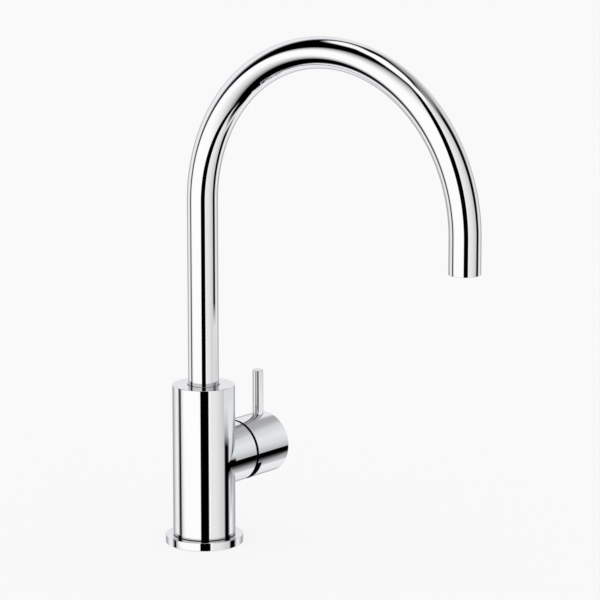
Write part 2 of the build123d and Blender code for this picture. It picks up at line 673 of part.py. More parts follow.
# Handle cap: a cup with a hub for the stem and a relief in the rim for the tilt
with BuildPart() as handle_cap:
    with BuildSketch(across(cap_x)):
        Circle(branch_r)
    extrude(amount=CAP_LENGTH)
    fillet(handle_cap.edges().filter_by(GeomType.CIRCLE), EDGE_R)
    with BuildSketch(across(cap_x)):
        Circle(cap_bore_r)
    extrude(amount=CAP_LENGTH - CAP_END_T, mode=Mode.SUBTRACT)
    with BuildSketch(across(hub_x)):
        Circle(HUB_R)
    extrude(amount=HUB_LENGTH)
    with BuildSketch(across(hub_x)):
        Rectangle(stem_hole_width, stem_hole_width)
    extrude(amount=STEM_ENGAGEMENT + STEM_END_SPACE, mode=Mode.SUBTRACT)
    with BuildSketch(across(cap_x)):
        with BuildLine():
            notch_start = 270 - NOTCH_HALF_ANGLE
            outer_arc = CenterArc((0, 0), branch_r + CAP_WALL, notch_start, 2 * NOTCH_HALF_ANGLE)
            inner_arc = CenterArc((0, 0), cap_bore_r - CAP_WALL, notch_start, 2 * NOTCH_HALF_ANGLE)
            Line(outer_arc @ 0, inner_arc @ 0)
            Line(outer_arc @ 1, inner_arc @ 1)
        make_face()
    extrude(amount=NOTCH_DEPTH, mode=Mode.SUBTRACT)
    with BuildSketch(level(pin_seat_z, pin_x)):
        Circle(PIN_D / 2 + SCREW_CLEARANCE)
    extrude(amount=2 * PIN_SEAT_DEPTH, mode=Mode.SUBTRACT)
    with BuildSketch(level(HANDLE_Z + HUB_R - PIN_SPIGOT_ENGAGEMENT, pin_x)):
        Circle(PIN_SPIGOT_R + SCREW_CLEARANCE)
    extrude(amount=branch_r - HUB_R + PIN_SPIGOT_ENGAGEMENT, mode=Mode.SUBTRACT)
    with BuildSketch(level(HANDLE_Z, grub_x)):
        Circle(GRUB_R + SCREW_CLEARANCE)
    extrude(amount=-HUB_R, mode=Mode.SUBTRACT)
    with BuildSketch(level(HANDLE_Z - HUB_R, grub_x)):
        Circle(PLUG_R + SLIP_CLEARANCE)
    extrude(amount=-branch_r, mode=Mode.SUBTRACT)
handle_cap.part.label = "handle_cap"
export_step(handle_cap.part, "parts/handle_cap.step")

# Upright pin that the hand moves
with BuildPart() as lever_pin:
    with BuildSketch(level(pin_seat_z, pin_x)):
        Circle(PIN_D / 2)
    extrude(amount=crown_z + PIN_STANDOUT - pin_seat_z)
    fillet(lever_pin.edges().group_by(Axis.Z)[-1], EDGE_R)
    with BuildSketch(level(pin_seat_z, pin_x)):
        Circle(PIN_SPIGOT_R)
    extrude(amount=HANDLE_Z + HUB_R - PIN_SPIGOT_ENGAGEMENT - pin_seat_z)
lever_pin.part.label = "lever_pin"
export_step(lever_pin.part, "parts/lever_pin.step")

# Screw that clamps the cap on the stem
with BuildPart() as handle_grub_screw:
    with BuildSketch(level(HANDLE_Z - stem_half, grub_x)):
        Circle(GRUB_R)
    extrude(amount=stem_half - HUB_R)
    with BuildSketch(level(HANDLE_Z - HUB_R, grub_x)):
        RegularPolygon(HEX_KEY / 2, 6, major_radius=False)
    extrude(amount=HEX_DEPTH, mode=Mode.SUBTRACT)
handle_grub_screw.part.label = "handle_grub_screw"
export_step(handle_grub_screw.part, "parts/handle_grub_screw.step")

# Plug over the access hole of that screw
with BuildPart() as screw_hole_plug:
    with BuildSketch(level(HANDLE_Z - cap_bore_r, grub_x)):
        Circle(PLUG_R)
    extrude(amount=cap_bore_r - branch_r + PLUG_RECESS)
screw_hole_plug.part.label = "screw_hole_plug"
export_step(screw_hole_plug.part, "parts/screw_hole_plug.step")
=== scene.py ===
# %% [markdown]
# # A gooseneck mixer tap in polished chrome
#
# The tap is a one-hole kitchen mixer: a turned body on a round flange, a tall bent spout and a handle
# cap with an upright pin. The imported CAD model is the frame: it says where every piece is and how it
# moves. This lesson rebuilds the chrome pieces that show as clean meshes, because a mirror finish shows
# every facet of a CAD mesh, and gives all the other pieces a finish of their own.

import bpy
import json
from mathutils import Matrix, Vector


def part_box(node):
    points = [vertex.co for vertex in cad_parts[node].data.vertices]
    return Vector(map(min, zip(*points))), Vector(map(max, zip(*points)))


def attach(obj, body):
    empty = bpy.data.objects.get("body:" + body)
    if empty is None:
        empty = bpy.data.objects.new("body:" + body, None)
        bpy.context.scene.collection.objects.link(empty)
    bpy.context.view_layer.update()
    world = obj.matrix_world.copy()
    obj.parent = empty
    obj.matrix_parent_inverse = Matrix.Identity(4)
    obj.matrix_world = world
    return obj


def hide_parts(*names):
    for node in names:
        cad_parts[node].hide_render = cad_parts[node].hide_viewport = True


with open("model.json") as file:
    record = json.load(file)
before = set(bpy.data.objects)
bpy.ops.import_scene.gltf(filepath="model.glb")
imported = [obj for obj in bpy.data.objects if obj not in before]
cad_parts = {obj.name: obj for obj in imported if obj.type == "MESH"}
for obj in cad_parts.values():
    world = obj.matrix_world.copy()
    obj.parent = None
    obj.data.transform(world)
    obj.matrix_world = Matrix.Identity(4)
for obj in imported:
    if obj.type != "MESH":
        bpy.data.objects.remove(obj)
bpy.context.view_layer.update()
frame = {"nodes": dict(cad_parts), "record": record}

# %% [markdown]
# ## Sizes
#
# Blender counts in metres and a maker in millimetres. The sizes come from the boxes of the CAD nodes,
# so a new mesh lies exactly where its solid does. Only what a box can't tell, such as how far an edge is
# rounded or how deep a bore is, is written down as a number, in the cell that first needs it.

# %% Sizes of the tap
import json
import math

import bmesh
import bpy
from mathutils import Matrix, Vector

MM = 0.001

flange_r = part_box("base_flange")[1].x
flange_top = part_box("base_flange")[1].z
body_low, body_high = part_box("mixer_body")
body_r = -body_low.x
tube_low, tube_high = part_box("spout_tube")
tube_r = tube_high.x
cap_low, cap_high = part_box("handle_cap")
cap_r = (cap_high.y - cap_low.y) / 2
handle_z = (cap_high.z + cap_low.z) / 2
print(f"body {body_r / MM:.1f}, tube {tube_r / MM:.1f}, handle cap {cap_r / MM:.1f} mm in radius")

# %% [markdown]
# ## The lathe
#
# Most of this tap was turned from brass bar, so most of its pieces can be drawn as half an outline and
# spun about an axis. Each corner of an outline has its radius, its place along the axis and the radius
# that the edge is rounded to: a mirror needs rounded edges, because they catch the thin bright lines
# that make metal look solid. Bevelling the corners of the wire before the spin is the shortest way, and
# it lets every corner have a rounding of its own.

# %% A lathe for outlines
FULL_TURN = 2 * math.pi
LATHE_STEPS = 240
ROUNDING_STEPS = 4
WELD = 0.0001 * MM
UPRIGHT = Matrix.Identity(4)
ALONG_HANDLE = Matrix.Translation((0, 0, handle_z)) @ Matrix.Rotation(math.radians(90), 4, "Y")


def turn(outline, place=UPRIGHT, closed=False, angle=FULL_TURN, steps=LATHE_STEPS):
    """A bmesh of an outline of (radius, along, rounding) corners, turned about its axis and placed."""
    bm = bmesh.new()
    corners = [bm.verts.new((radius, 0, along)) for radius, along, rounding in outline]
    for corner, following in zip(corners, corners[1:]):
        bm.edges.new((corner, following))
    if closed:
        bm.edges.new((corners[-1], corners[0]))
    for corner, (radius, along, rounding) in zip(corners, outline):
        if rounding:
            bmesh.ops.bevel(bm, geom=[corner], offset=rounding, offset_type="OFFSET", affect="VERTICES",
                            segments=ROUNDING_STEPS, profile=0.5, material=-1)
    bmesh.ops.spin(bm, geom=bm.verts[:] + bm.edges[:], cent=(0, 0, 0), axis=(0, 0, 1), angle=angle,
                   steps=steps, use_merge=angle >= FULL_TURN)
    bmesh.ops.remove_doubles(bm, verts=bm.verts[:], dist=WELD)
    bmesh.ops.transform(bm, matrix=place, verts=bm.verts[:])
    bmesh.ops.recalc_face_normals(bm, faces=bm.faces[:])
    return bm


# %% [markdown]
# A finished bmesh becomes an object with smooth shading. Edges that turn by more than a set angle are
# marked sharp, and the Weighted Normal modifier lets the large faces set the shading, so a flat face next
# to a small rounding stays a flat mirror. A spin leaves its edges and faces in another order each time, so
# they are sorted by their corners first, and every run gives the same mesh. The object then rides on a
# body of the frame and stands for one of its nodes.

# %% From a bmesh to a piece
SHARP = math.radians(35)


def put_in_order(bm):
    """Sorts edges and faces by the numbers of their corners."""
    bm.verts.index_update()
    base = len(bm.verts)

    def as_number(element):
        number = 0
        for index in sorted(vert.index for vert in element.verts):
            number = number * base + index
        return number

    bm.edges.sort(key=as_number)
    bm.faces.sort(key=as_number)


def shade(bm):
    """Smooth faces, with sharp edges where the surface turns."""
    for face in bm.faces:
        face.smooth = True
    for edge in bm.edges:
        edge.smooth = edge.calc_face_angle(0.0) < SHARP


def make_piece(name, bm):
    """An object at the origin that holds the bmesh."""
    put_in_order(bm)
    shade(bm)
    mesh = bpy.data.meshes.new(name)
    bm.to_mesh(mesh)
    bm.free()
    piece = bpy.data.objects.new(name, mesh)
    bpy.context.scene.collection.objects.link(piece)
    return piece


def weigh_normals(piece):
    """Large faces set the shading of the small ones beside them."""
    modifier = piece.modifiers.new("weighted normals", "WEIGHTED_NORMAL")
    modifier.keep_sharp = True


def stand_for(piece, node, body):
    """The piece takes the place of a CAD node and rides on its body."""
    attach(piece, body)
    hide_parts(node)
    print(f"{piece.name}: {len(piece.data.polygons)} faces, replaces {node}, moves with {body}")


# %% [markdown]
# ## Base flange
#
# The flange is a turned ring that hides the tap hole. A groove in its underside holds the rubber gasket,
# and the body's spigot stands in its bore. It could be cut from a disc step by step, but one closed
# outline on the lathe gives all of it at once.

# %% Turn the flange
EDGE_ROUNDING = 0.4 * MM
GASKET_WIDTH = 4.0 * MM
GROOVE_CLEARANCE = 0.03 * MM
SPIGOT_R = 18.9 * MM
SPIGOT_CLEARANCE = 0.1 * MM

gasket_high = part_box("base_gasket")[1]
groove_outer = gasket_high.x + GROOVE_CLEARANCE
groove_inner = gasket_high.x - GASKET_WIDTH - GROOVE_CLEARANCE
flange_outline = [
    (SPIGOT_R + SPIGOT_CLEARANCE, 0, 0),
    (groove_inner, 0, 0),
    (groove_inner, gasket_high.z, 0),
    (groove_outer, gasket_high.z, 0),
    (groove_outer, 0, 0),
    (flange_r, 0, EDGE_ROUNDING),
    (flange_r, flange_top, EDGE_ROUNDING),
    (SPIGOT_R + SPIGOT_CLEARANCE, flange_top, 0),
]
flange = make_piece("chrome_flange", turn(flange_outline, closed=True))
weigh_normals(flange)
stand_for(flange, "base_flange", "body")

# %% [markdown]
# ## Body
#
# The body is a casting that was turned on two axes: an upright column with a socket for the spout, and a
# side branch that holds the cartridge. Each is a lathe shape. The edge of the branch that faces the
# handle is left almost sharp, so that the gap between the two reads as one thin dark line, and a fine
# groove runs round the foot of the column, where it stands on the flange.

# %% Outlines of the column and the branch
SOCKET_R = 8.95 * MM
GAP_EDGE = 0.15 * MM
FOOT_GROOVE = 0.5 * MM

thrust_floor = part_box("thrust_ring")[0].z
socket_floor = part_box("lower_bush")[0].z
counterbore_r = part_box("upper_bush")[1].x + GROOVE_CLEARANCE
column_outline = [
    (0, body_low.z, 0),
    (SPIGOT_R, body_low.z, 0),
    (SPIGOT_R, flange_top, 0),
    (body_r - FOOT_GROOVE, flange_top, 0),
    (body_r - FOOT_GROOVE, flange_top + FOOT_GROOVE, 0),
    (body_r, flange_top + FOOT_GROOVE, 0),
    (body_r, body_high.z, EDGE_ROUNDING),
    (counterbore_r, body_high.z, EDGE_ROUNDING / 2),
    (counterbore_r, thrust_floor, 0),
    (SOCKET_R, thrust_floor, 0),
    (SOCKET_R, socket_floor, 0),
    (0, socket_floor, 0),
]
branch_outline = [
    (0, 0, 0),
    (cap_r, 0, 0),
    (cap_r, body_high.x, GAP_EDGE),
    (0, body_high.x, 0),
]
print(f"socket for the spout: {(body_high.z - socket_floor) / MM:.1f} mm deep")

# %% [markdown]
# The bores are lathe shapes too. The widest is the chamber of the cartridge, in the branch. The spout's
# lock screw comes in from the back, and two threaded holes for the fixing studs and two for the hoses
# come up from below. Their places are mounts, so they are read from the record.

# %% Cutters for the bores
OVERCUT = 1.0 * MM
BORE_STEPS = 96
PEG_LENGTH = 2.5 * MM
NUT_RUNOUT = 1.0 * MM
THREAD_CLEARANCE = 0.02 * MM
CHAMBER_CLEARANCE = 0.1 * MM
INLET_R, INLET_DEPTH = 4.5 * MM, 13.5 * MM
STUD_R, STUD_DEPTH = 3.4 * MM, 20.0 * MM


def drill(radius, depth, place):
    """A plain round cutter that stands on its place, with its length along the place's Z axis."""
    outline = [(0, -OVERCUT, 0), (radius, -OVERCUT, 0), (radius, depth, 0), (0, depth, 0)]
    return turn(outline, place, steps=BORE_STEPS)


nut_low, nut_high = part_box("cartridge_nut")
seat_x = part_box("cartridge_base")[0].x + PEG_LENGTH
chamber_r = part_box("cartridge_housing")[1].y + CHAMBER_CLEARANCE
nut_r = nut_high.y + THREAD_CLEARANCE
chamber_outline = [
    (0, seat_x, 0),
    (chamber_r, seat_x, 0),
    (chamber_r, nut_low.x - NUT_RUNOUT, 0),
    (nut_r, nut_low.x - NUT_RUNOUT, 0),
    (nut_r, body_high.x + OVERCUT, 0),
    (0, body_high.x + OVERCUT, 0),
]
screw_low, screw_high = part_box("spout_lock_screw")
lock_z = (screw_low.z + screw_high.z) / 2
lock_r = (screw_high.z - screw_low.z) / 2 + THREAD_CLEARANCE
lock_place = Matrix.Translation((0, SOCKET_R, lock_z)) @ Matrix.Rotation(math.radians(-90), 4, "X")
bores = [turn(chamber_outline, ALONG_HANDLE), drill(lock_r, body_r, lock_place)]

mounts = {mount["name"]: mount for mount in frame["record"]["mounts"]}
stud_offset = mounts["stud_holes"]["dims"]["spacing_y_mm"] * MM / 2
for inlet_name, side in (("inlet_front", -1), ("inlet_rear", 1)):
    inlet_x, inlet_y = mounts[inlet_name]["pos_m"][:2]
    stud = Vector(mounts["stud_holes"]["pos_m"]) + Vector((0, side * stud_offset, 0))
    bores.append(drill(INLET_R, INLET_DEPTH, Matrix.Translation((inlet_x, inlet_y, body_low.z))))
    bores.append(drill(STUD_R, STUD_DEPTH, Matrix.Translation(stud)))
print(len(bores), "bores to cut in the body")

# %% [markdown]
# The Boolean modifier joins column and branch and cuts the bores. It leaves faces of very uneven size on
# the round walls, and shading taken from such faces wobbles in a mirror. Remeshing would soften the crisp
# line where the branch leaves the column. So the mesh is kept as it was cut, and each corner on a round
# wall gets the normal of the true cylinder.

# %% Tools that carve and tools that true the walls
ROUND_TOLERANCE = 0.003 * MM
WALL_LEAN = 0.1


def carve(piece, steps):
    """Joins or cuts with each (operation, bmesh) in turn, and keeps the result as the piece's mesh."""
    tools = []
    for operation, bm in steps:
        tool = make_piece("tool", bm)
        modifier = piece.modifiers.new("carve", "BOOLEAN")
        modifier.operation = operation
        modifier.solver = "EXACT"
        modifier.object = tool
        tools.append(tool)
    carved = piece.evaluated_get(bpy.context.evaluated_depsgraph_get())
    mesh = bpy.data.meshes.new_from_object(carved)
    piece.modifiers.clear()
    for tool in tools:
        bpy.data.objects.remove(tool)
    bm = bmesh.new()
    bm.from_mesh(mesh)
    bmesh.ops.remove_doubles(bm, verts=bm.verts[:], dist=WELD)
    shade(bm)
    bm.to_mesh(mesh)
    bm.free()
    mesh.name = piece.name
    piece.data = mesh


def true_walls(piece, walls):
    """Gives the corners on each round wall, (point on axis, axis, radius), the true cylinder's normals."""
    weigh_normals(piece)
    weighed = piece.evaluated_get(bpy.context.evaluated_depsgraph_get())
    mesh = bpy.data.meshes.new_from_object(weighed)
    piece.modifiers.clear()
    normals = [corner.vector.copy() for corner in mesh.corner_normals]
    trued = 0
    for face in mesh.polygons:
        places = [mesh.vertices[index].co for index in face.vertices]
        for point, axis, radius in walls:
            spokes = [place - point - axis * (place - point).dot(axis) for place in places]
            off_wall = max(abs(spoke.length - radius) for spoke in spokes)
            if off_wall < ROUND_TOLERANCE and abs(face.normal.dot(axis)) < WALL_LEAN:
                trued += 1
                for loop, spoke in zip(face.loop_indices, spokes):
                    normals[loop] = spoke.normalized()
    mesh.normals_split_custom_set(normals)
    mesh.name = piece.name
    piece.data = mesh
    print(f"{piece.name}: {trued} of {len(mesh.polygons)} faces lie on true round walls")


# %% [markdown]
# The branch is joined to the column first, so that each bore cuts through both where it has to. Then the
# two round outsides are trued.

# %% Join and cut the body
body = make_piece("chrome_body", turn(column_outline))
carve(body, [("UNION", turn(branch_outline, ALONG_HANDLE))] + [("DIFFERENCE", bore) for bore in bores])
column_wall = (Vector((0, 0, 0)), Vector((0, 0, 1)), body_r)
branch_wall = (Vector((0, 0, handle_z)), Vector((1, 0, 0)), cap_r)
true_walls(body, [column_wall, branch_wall])
stand_for(body, "mixer_body", "body")

# %% [markdown]
# ## Spout tube
#
# The spout is one length of drawn tube, bent over a round former in a half circle. It is made in the same
# order here: a ring of edges is extruded up, spun over the former's centre and extruded down to the
# outlet. A curve with a bevel would be quicker, but it can't promise an exact half circle.

# %% Bend the spout
OUTLET_RECESS = 0.5 * MM
TUBE_STEPS = 128
BEND_STEPS = 240

bend_r = (tube_high.y - tube_low.y) / 2 - tube_r
spring_z = tube_high.z - tube_r - bend_r
outlet_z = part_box("outlet_bush")[0].z - OUTLET_RECESS


def only(kind, geometry):
    """The vertices, or the edges, of what an operator returned."""
    return [item for item in geometry if isinstance(item, kind)]


def draw_out(bm, edges, rise):
    """Extrudes a ring of edges straight up or down, and returns the new edges."""
    grown = bmesh.ops.extrude_edge_only(bm, edges=edges)["geom"]
    bmesh.ops.translate(bm, verts=only(bmesh.types.BMVert, grown), vec=(0, 0, rise))
    return only(bmesh.types.BMEdge, grown)


bm = bmesh.new()
tube_foot = Matrix.Translation((0, 0, tube_low.z))
bmesh.ops.create_circle(bm, segments=TUBE_STEPS, radius=tube_r, matrix=tube_foot)
grown = draw_out(bm, bm.edges[:], spring_z - tube_low.z)
ring = [edge for edge in grown if all(abs(vert.co.z - spring_z) < WELD for vert in edge.verts)]
ring_verts = list({vert for edge in ring for vert in edge.verts})
bent = bmesh.ops.spin(bm, geom=ring_verts + ring, cent=(0, -bend_r, spring_z), axis=(1, 0, 0),
                      angle=math.pi, steps=BEND_STEPS)
draw_out(bm, only(bmesh.types.BMEdge, bent["geom_last"]), outlet_z - spring_z)
bmesh.ops.remove_doubles(bm, verts=bm.verts[:], dist=WELD)
bmesh.ops.recalc_face_normals(bm, faces=bm.faces[:])
spout = make_piece("chrome_spout", bm)
print(f"bent over a former of {bend_r / MM:.1f} mm, outlet at {outlet_z / MM:.1f} mm")

# %% [markdown]
# So far the tube is a thin skin. Solidify gives it a wall, inwards, so its outside keeps its size, and a
# Bevel takes the sharpness off the two cut ends.

# %% Give the spout its wall
TUBE_WALL = 1.5 * MM
TUBE_EDGE = 0.3 * MM
TUBE_EDGE_STEPS = 3
EASED_FROM = math.radians(60)

wall = spout.modifiers.new("tube wall", "SOLIDIFY")
wall.thickness = TUBE_WALL
wall.offset = -1
eased = spout.modifiers.new("eased ends", "BEVEL")
eased.width = TUBE_EDGE
eased.segments = TUBE_EDGE_STEPS
eased.limit_method = "ANGLE"
eased.angle_limit = EASED_FROM
weigh_normals(spout)
stand_for(spout, "spout_tube", "spout")

# %% [markdown]
# ## Handle cap
#
# The handle is a turned cup that covers the cartridge. Inside, a hub grips the square stem. The cup is one
# outline, turned about the handle's axis.

# %% Turn the cup
HUB_START = 42.0 * MM
HUB_R = 9.0 * MM
CAP_WALL = 2.75 * MM
CAP_END = 3.0 * MM

cup_outline = [
    (0, HUB_START, 0),
    (HUB_R, HUB_START, 0),
    (HUB_R, cap_high.x - CAP_END, 0),
    (cap_r - CAP_WALL, cap_high.x - CAP_END, 0),
    (cap_r - CAP_WALL, cap_low.x, GAP_EDGE),
    (cap_r, cap_low.x, EDGE_ROUNDING),
    (cap_r, cap_high.x, EDGE_ROUNDING),
    (0, cap_high.x, 0),
]
cap = make_piece("chrome_cap", turn(cup_outline, ALONG_HANDLE))
cup_length = cap_high.x - cap_low.x
cup_gap = cap_low.x - body_high.x
print(f"cup of {cup_length / MM:.1f} mm, {cup_gap / MM:.2f} mm off the branch")

# %% [markdown]
# A relief is milled away at the bottom of the rim, so that the cap can tilt without striking the branch.
# It follows the rim, so its cutter is a small rectangle that makes only part of a turn, with its two ends
# closed.

# %% A cutter for the relief
RELIEF_DEPTH = 4.7 * MM
RELIEF_HALF_ANGLE = math.radians(73)

relief_outline = [
    (cap_r - 2 * CAP_WALL, cap_low.x - OVERCUT, 0),
    (cap_r + CAP_WALL, cap_low.x - OVERCUT, 0),
    (cap_r + CAP_WALL, cap_low.x + RELIEF_DEPTH, 0),
    (cap_r - 2 * CAP_WALL, cap_low.x + RELIEF_DEPTH, 0),
]
relief_place = ALONG_HANDLE @ Matrix.Rotation(-RELIEF_HALF_ANGLE, 4, "Z")
relief = turn(relief_outline, relief_place, closed=True, angle=2 * RELIEF_HALF_ANGLE, steps=BORE_STEPS)
bmesh.ops.holes_fill(relief, edges=relief.edges[:], sides=0)
bmesh.ops.recalc_face_normals(relief, faces=relief.faces[:])
print(f"relief of {math.degrees(2 * RELIEF_HALF_ANGLE):.0f} degrees, {RELIEF_DEPTH / MM:.1f} mm deep")

# %% [markdown]
# The pin stands in a stepped hole on top. A square hole in the hub takes the stem, and the grub screw
# that clamps it is reached through a hole below, which a small plug closes.

# %% Cutters for the holes of the cap
STEM_HOLE = 8.2 * MM
STEM_HOLE_DEPTH = 11.0 * MM
PIN_SEAT_DEPTH = 1.4 * MM
PIN_SPIGOT_R = 2.5 * MM
DOWNWARD = Matrix.Rotation(math.radians(180), 4, "X")

pin_low, pin_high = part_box("lever_pin")
pin_r = (pin_high.y - pin_low.y) / 2
pin_x = (pin_high.x + pin_low.x) / 2
pin_seat_z = handle_z + cap_r - PIN_SEAT_DEPTH
seat_place = Matrix.Translation((pin_x, 0, pin_seat_z + OVERCUT))
spigot_place = Matrix.Translation((pin_x, 0, pin_low.z + OVERCUT))
grub_low, grub_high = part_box("handle_grub_screw")
plug_low, plug_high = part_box("screw_hole_plug")
grub_x = (grub_high.x + grub_low.x) / 2
grub_r = (grub_high.x - grub_low.x) / 2
plug_r = (plug_high.x - plug_low.x) / 2
grub_place = Matrix.Translation((grub_x, 0, handle_z)) @ DOWNWARD
plug_place = Matrix.Translation((grub_x, 0, handle_z - HUB_R - OVERCUT)) @ DOWNWARD

stem_hole = bmesh.new()
stem_size = Matrix.Diagonal((STEM_HOLE_DEPTH + OVERCUT, STEM_HOLE, STEM_HOLE, 1))
stem_place = Matrix.Translation((HUB_START + (STEM_HOLE_DEPTH - OVERCUT) / 2, 0, handle_z))
bmesh.ops.create_cube(stem_hole, size=1, matrix=stem_place @ stem_size)
holes = [
    stem_hole,
    drill(pin_r + THREAD_CLEARANCE, 2 * PIN_SEAT_DEPTH, seat_place),
    drill(PIN_SPIGOT_R + THREAD_CLEARANCE, cap_r, spigot_place),
    drill(grub_r + THREAD_CLEARANCE, HUB_R + OVERCUT, grub_place),
    drill(plug_r + GROOVE_CLEARANCE, cap_r, plug_place),
]
print(len(holes), "holes to cut in the cap")

# %% [markdown]
# Relief and holes are cut as the body's bores were, and the round outside is trued again.

# %% Carve the cap
carve(cap, [("DIFFERENCE", cutter) for cutter in [relief] + holes])
true_walls(cap, [branch_wall])
stand_for(cap, "handle_cap", "lever")

# %% [markdown]
# ## Lever pin
#
# A short rod stands on the cap, pressed in by a thinner spigot. It is one more lathe piece.

# %% Turn the pin
pin_outline = [
    (0, pin_low.z, 0),
    (PIN_SPIGOT_R, pin_low.z, 0),
    (PIN_SPIGOT_R, pin_seat_z, 0),
    (pin_r, pin_seat_z, 0),
    (pin_r, pin_high.z, EDGE_ROUNDING),
    (0, pin_high.z, 0),
]
pin = make_piece("chrome_pin", turn(pin_outline, Matrix.Translation((pin_x, 0, 0)), steps=BORE_STEPS))
weigh_normals(pin)
stand_for(pin, "lever_pin", "lever")

# %% [markdown]
# ## Finishes
#
# Every finish is a small tree of nodes. One function adds a node with its settings and its links, and one
# turns the sRGB hex colours that people read into the linear colours that the shader wants. Values that
# are the same all over a surface are set straight on the shader.

# %% Helpers for finishes


def add_node(tree, kind, inputs=None, **settings):
    """A node with its settings. A socket given as an input is linked, and anything else is its value."""
    made = tree.nodes.new(kind)
    for name, value in settings.items():
        setattr(made, name, value)
    for name, value in (inputs or {}).items():
        if isinstance(value, bpy.types.NodeSocket):
            tree.links.new(value, made.inputs[name])
        else:
            made.inputs[name].default_value = value
    return made


def srgb(code):
    """A colour such as #C0FFEE as linear RGBA."""
    shares = [int(code[i:i + 2], 16) / 255 for i in (1, 3, 5)]
    linear = [s / 12.92 if s <= 0.04045 else ((s + 0.055) / 1.055) ** 2.4 for s in shares]
    return (*linear, 1.0)


def per_mm(size_mm):
    """The scale that makes a texture's features this many millimetres across."""
    return 1.0 / (size_mm * MM)


def start_material(name, **sockets):
    """A material with a Principled shader, whose even values are set on its own sockets."""
    material = bpy.data.materials.new(name)
    material.use_nodes = True
    tree = material.node_tree
    shader = tree.nodes["Principled BSDF"]
    for socket, value in sockets.items():
        shader.inputs[socket.replace("_", " ")].default_value = value
    place = add_node(tree, "ShaderNodeTexCoord").outputs["Object"]
    return material, tree, shader, place


def dress(material, *names):
    """Puts a material on nodes of the frame."""
    for name in names:
        mesh = frame["nodes"][name].data
        mesh.materials.clear()
        mesh.materials.append(material)
    print(f"{material.name}: {', '.join(names)}")


# %% [markdown]
# ### Polished chrome plate
#
# A bright nickel and chrome plate on polished brass. Chromium gives back some two thirds of the light,
# evenly for all colours, and a little less at a glancing angle, so the tap has thin grey outlines and a
# mirror in the mirror is plainly darker. The only thing that gives the surface itself away is a faint
# change of polish from the buffing wheel.

# %% Chrome
BUFFING_MM = 9.0
BEST_POLISH, LEAST_POLISH = 0.008, 0.025
NOISE_LOW, NOISE_HIGH = 0.3, 0.7

chrome, tree, shader, place = start_material(
    "polished chrome plate",
    Metallic=1.0,
    Base_Color=srgb("#D0D0D1"),
    Specular_Tint=srgb("#E2E2E2"),
)
buffing = add_node(tree, "ShaderNodeTexNoise", {"Vector": place, "Scale": per_mm(BUFFING_MM), "Detail": 3.0})
polish = add_node(tree, "ShaderNodeMapRange", {
    "Value": buffing.outputs["Fac"],
    "From Min": NOISE_LOW,
    "From Max": NOISE_HIGH,
    "To Min": BEST_POLISH,
    "To Max": LEAST_POLISH,
})
tree.links.new(polish.outputs["Result"], shader.inputs["Roughness"])
for piece in (flange, body, spout, cap, pin):
    piece.data.materials.clear()
    piece.data.materials.append(chrome)
dress(chrome, "screw_hole_plug")

# %% [markdown]
# ### Painted shade in the recesses
#
# The inside of the cap, the relief, the end of the branch and the groove at the body's foot get a
# near-black,
# matt metal. It is painted shade: it stands in for the shadow in these recesses, so that the gap round the
# handle shows as a black line. The painted shade begins some hundredths of a millimetre inside the edge.
# Colour and roughness follow a fine grain, the grit of the casting. The grain is a helper, because the
# moulded pieces further on have one too.

# %% A grain, and the painted shade of the recesses


def grained(name, colours, grain_mm, roughness, depth_mm, **sockets):
    """A material whose colour, roughness and bump follow a grain of this size."""
    material, tree, shader, place = start_material(name, **sockets)
    noise = add_node(tree, "ShaderNodeTexNoise", {"Vector": place, "Scale": per_mm(grain_mm), "Detail": 4.0})
    grain = add_node(tree, "ShaderNodeMapRange", {
        "Value": noise.outputs["Fac"],
        "From Min": NOISE_LOW,
        "From Max": NOISE_HIGH,
    }).outputs["Result"]
    dark, light = colours
    colour = add_node(tree, "ShaderNodeMix", {0: grain, 6: srgb(dark), 7: srgb(light)}, data_type="RGBA")
    smooth, rough = roughness
    gloss = add_node(tree, "ShaderNodeMapRange", {"Value": grain, "To Min": smooth, "To Max": rough})
    bump = add_node(tree, "ShaderNodeBump", {"Height": grain, "Distance": depth_mm * MM})
    tree.links.new(colour.outputs[2], shader.inputs["Base Color"])
    tree.links.new(gloss.outputs["Result"], shader.inputs["Roughness"])
    tree.links.new(bump.outputs["Normal"], shader.inputs["Normal"])
    return material


# Painted shade: a near-black matt plate on the faces within this inset of the cap's radius.
SHADE_INSET = 0.03 * MM
shade_edge_r = cap_r - SHADE_INSET
painted_shade_plate = grained("near-black plate as painted shade in recesses", ("#0D0D0E", "#18181A"), grain_mm=1.2,
                     roughness=(0.5, 0.65), depth_mm=0.01, Metallic=1.0)


def paint_recess_shade(piece, in_recess):
    """Gives the near-black plate, painted shade, to the faces whose middle is in a recess."""
    piece.data.materials.append(painted_shade_plate)
    shade_faces = [face for face in piece.data.polygons if in_recess(face.center)]
    for face in shade_faces:
        face.material_index = 1
    print(f"{piece.name}: {len(shade_faces)} faces in recesses")


def off_handle_axis(place):
    """How far a place is from the handle's axis."""
    return math.hypot(place.y, place.z - handle_z)


def in_branch_or_groove(middle):
    """Whether a place is in the branch, or in the groove at the foot of the column."""
    in_branch = middle.x > seat_x - OVERCUT and off_handle_axis(middle) < shade_edge_r
    return in_branch or flange_top - WELD < middle.z < flange_top + FOOT_GROOVE + WELD


def in_cap(middle):
    """Whether a place is inside the cap, or on its rim."""
    return middle.x < cap_high.x - CAP_END / 2 and off_handle_axis(middle) < shade_edge_r


# The end of the branch, the groove at the foot and the inside of the cap get the painted shade.
paint_recess_shade(body, in_branch_or_groove)
paint_recess_shade(cap, in_cap)

# %% [markdown]
# ### Turned brass
#
# The spout's tail, the outlet bush, the cartridge nut and its stem are bare brass, straight from the
# lathe: warm yellow, with fine rings left by the tool across the axis. The tool moves some 0.15 mm a
# turn, which is too fine to show, so the rings are drawn 0.6 mm apart. The rings are a wave texture, and
# at a scale of 1 that repeats twenty times in two pi metres. The pieces of the spout were turned upright
# and those of the cartridge along the handle, so there are two brasses.

